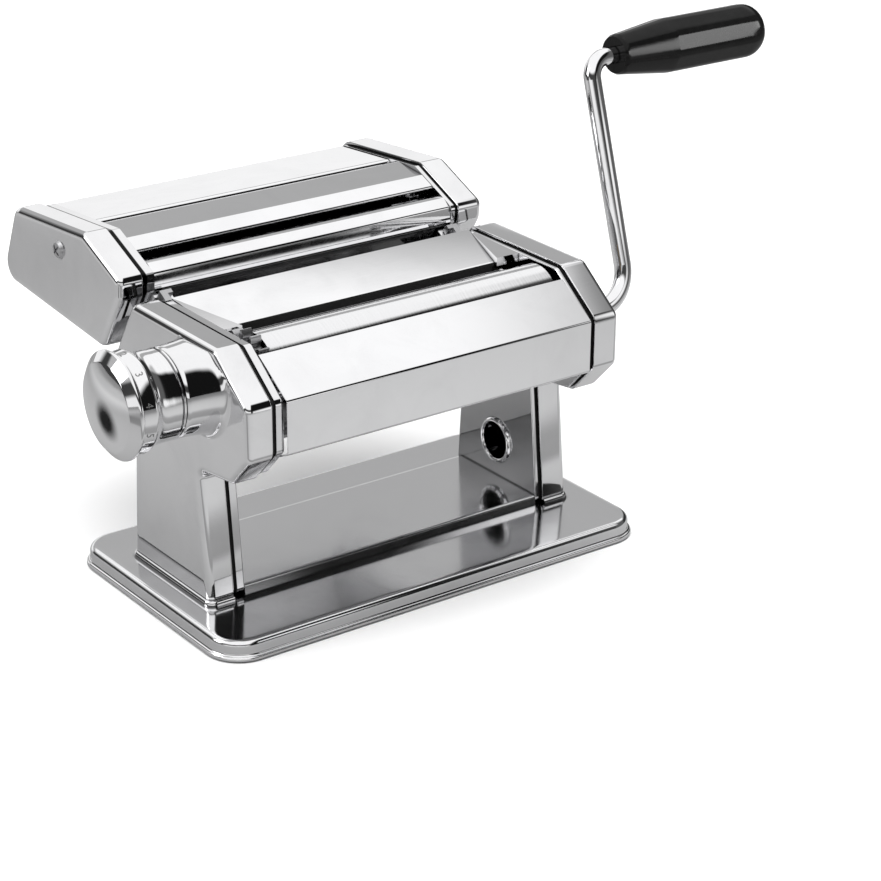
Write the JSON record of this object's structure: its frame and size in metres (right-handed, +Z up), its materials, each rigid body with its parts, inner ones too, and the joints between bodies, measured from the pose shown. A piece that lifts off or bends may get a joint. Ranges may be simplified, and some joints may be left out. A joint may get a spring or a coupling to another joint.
{
  "type": "hand-cranked pasta machine",
  "caption": "Chromed hand-cranked pasta machine with two smooth rollers, a side knob that sets their gap, and a clip-on cutter with broad and thin noodle rollers.",
  "frame": {"origin": "on the table under the middle of the base", "axes": "+X along the rollers towards the crank, -Y to the front where the sheet of dough comes out, +Z up"},
  "size_m": [0.3869, 0.2049, 0.2044],
  "materials": {
    "chrome": "bright chrome plate on pressed and turned steel",
    "steel": "plain machined or pressed steel",
    "bronze": "plain sintered bushes",
    "rubber": "matt moulded rubber",
    "black_plastic": "glossy moulded black plastic"
  },
  "bodies": {
    "frame": {"base_plate": "chrome", "base_pad": "rubber", "floor_plate": "chrome", "left_inner_frame": "chrome", "right_inner_frame": "chrome", "left_outer_shell": "chrome", "right_outer_shell": "chrome", "clamp_hole_rim": "chrome", "leg_screws": "steel", "front_panel": "chrome", "hopper_plate": "chrome", "left_dough_guide": "chrome", "right_dough_guide": "chrome", "front_scraper": "steel", "rear_scraper": "steel", "tie_rods": "steel", "tie_rod_nuts": "steel", "drive_bushes": "bronze", "block_guides": "steel", "regulator_bush": "bronze", "knob_collar": "chrome", "cutter_rails": "steel"},
    "drive": {"drive_roller": "chrome", "drive_shaft": "steel", "drive_gear": "steel"},
    "carriage": {"left_bearing_block": "steel", "right_bearing_block": "steel", "block_bushes": "bronze", "scroll_pins": "steel"},
    "adjusting": {"adjusting_roller": "chrome", "driven_gear": "steel"},
    "regulator": {"regulator_shaft": "steel", "scroll_discs": "steel", "knob_screw": "steel", "knob_spring": "steel"},
    "knob": {"knob_body": "chrome", "knob_cap": "chrome", "detent_pin": "steel"},
    "crank": {"crank_rod": "chrome", "crank_pin": "steel"},
    "grip": {"crank_grip": "black_plastic", "grip_plug": "black_plastic"},
    "cutter": {"cutter_left_plate": "chrome", "cutter_right_plate": "chrome", "cutter_left_cover": "chrome", "cutter_right_cover": "chrome", "cutter_screws": "steel", "cutter_back_panel": "chrome", "cutter_middle_bar": "chrome", "cutter_front_bar": "chrome", "broad_combs": "steel", "thin_combs": "steel"},
    "broad_lead": {"broad_lead_roller": "steel", "broad_lead_gear": "steel"},
    "broad_follow": {"broad_follow_roller": "steel", "broad_follow_gear": "steel"},
    "thin_lead": {"thin_lead_roller": "steel", "thin_lead_gear": "steel"},
    "thin_follow": {"thin_follow_roller": "steel", "thin_follow_gear": "steel"}
  },
  "joints": [
    {"name": "drive_turn", "type": "hinge", "parent": "frame", "child": "drive", "pos_m": [0, -0.00382, 0.08448], "axis": [1, 0, 0], "continuous": true},
    {"name": "crank_pull", "type": "slide", "parent": "drive", "child": "crank", "axis": [1, 0, 0], "range_m": [0, 0.035]},
    {"name": "grip_spin", "type": "hinge", "parent": "crank", "child": "grip", "pos_m": [0.2, 0.02967, 0.19135], "axis": [1, 0, 0], "continuous": true},
    {"name": "regulator_turn", "type": "hinge", "parent": "frame", "child": "regulator", "pos_m": [0, -0.025, 0.108], "axis": [1, 0, 0], "range_deg": [0, 270]},
    {"name": "carriage_slide", "type": "slide", "parent": "frame", "child": "carriage", "axis": [0, 0.6691, -0.7431], "range_m": [0, 0.0027]},
    {"name": "adjusting_turn", "type": "hinge", "parent": "carriage", "child": "adjusting", "pos_m": [0, -0.0259, 0.109], "axis": [1, 0, 0], "continuous": true},
    {"name": "knob_pull", "type": "slide", "parent": "regulator", "child": "knob", "axis": [-1, 0, 0], "range_m": [0, 0.005], "stiffness_N_per_m": 800, "springref_m": -0.004, "deforming": ["knob_spring"]},
    {"name": "cutter_lift", "type": "slide", "parent": "frame", "child": "cutter", "axis": [0, -0.5255, 0.8508], "range_m": [0, 0.045]},
    {"name": "broad_lead_turn", "type": "hinge", "parent": "cutter", "child": "broad_lead", "pos_m": [0, 0.0884, 0.121], "axis": [1, 0, 0], "continuous": true},
    {"name": "broad_follow_turn", "type": "hinge", "parent": "cutter", "child": "broad_follow", "pos_m": [0, 0.0774, 0.121], "axis": [1, 0, 0], "continuous": true},
    {"name": "thin_lead_turn", "type": "hinge", "parent": "cutter", "child": "thin_lead", "pos_m": [0, 0.0636, 0.121], "axis": [1, 0, 0], "continuous": true},
    {"name": "thin_follow_turn", "type": "hinge", "parent": "cutter", "child": "thin_follow", "pos_m": [0, 0.0526, 0.121], "axis": [1, 0, 0], "continuous": true}
  ],
  "couplings": [
    {"joint": "adjusting_turn", "follows": "drive_turn", "ratio": -1},
    {"joint": "regulator_turn", "follows": "carriage_slide", "rad_per_m": 1745.3},
    {"joint": "broad_follow_turn", "follows": "broad_lead_turn", "ratio": -1},
    {"joint": "thin_follow_turn", "follows": "thin_lead_turn", "ratio": -1}
  ]
}
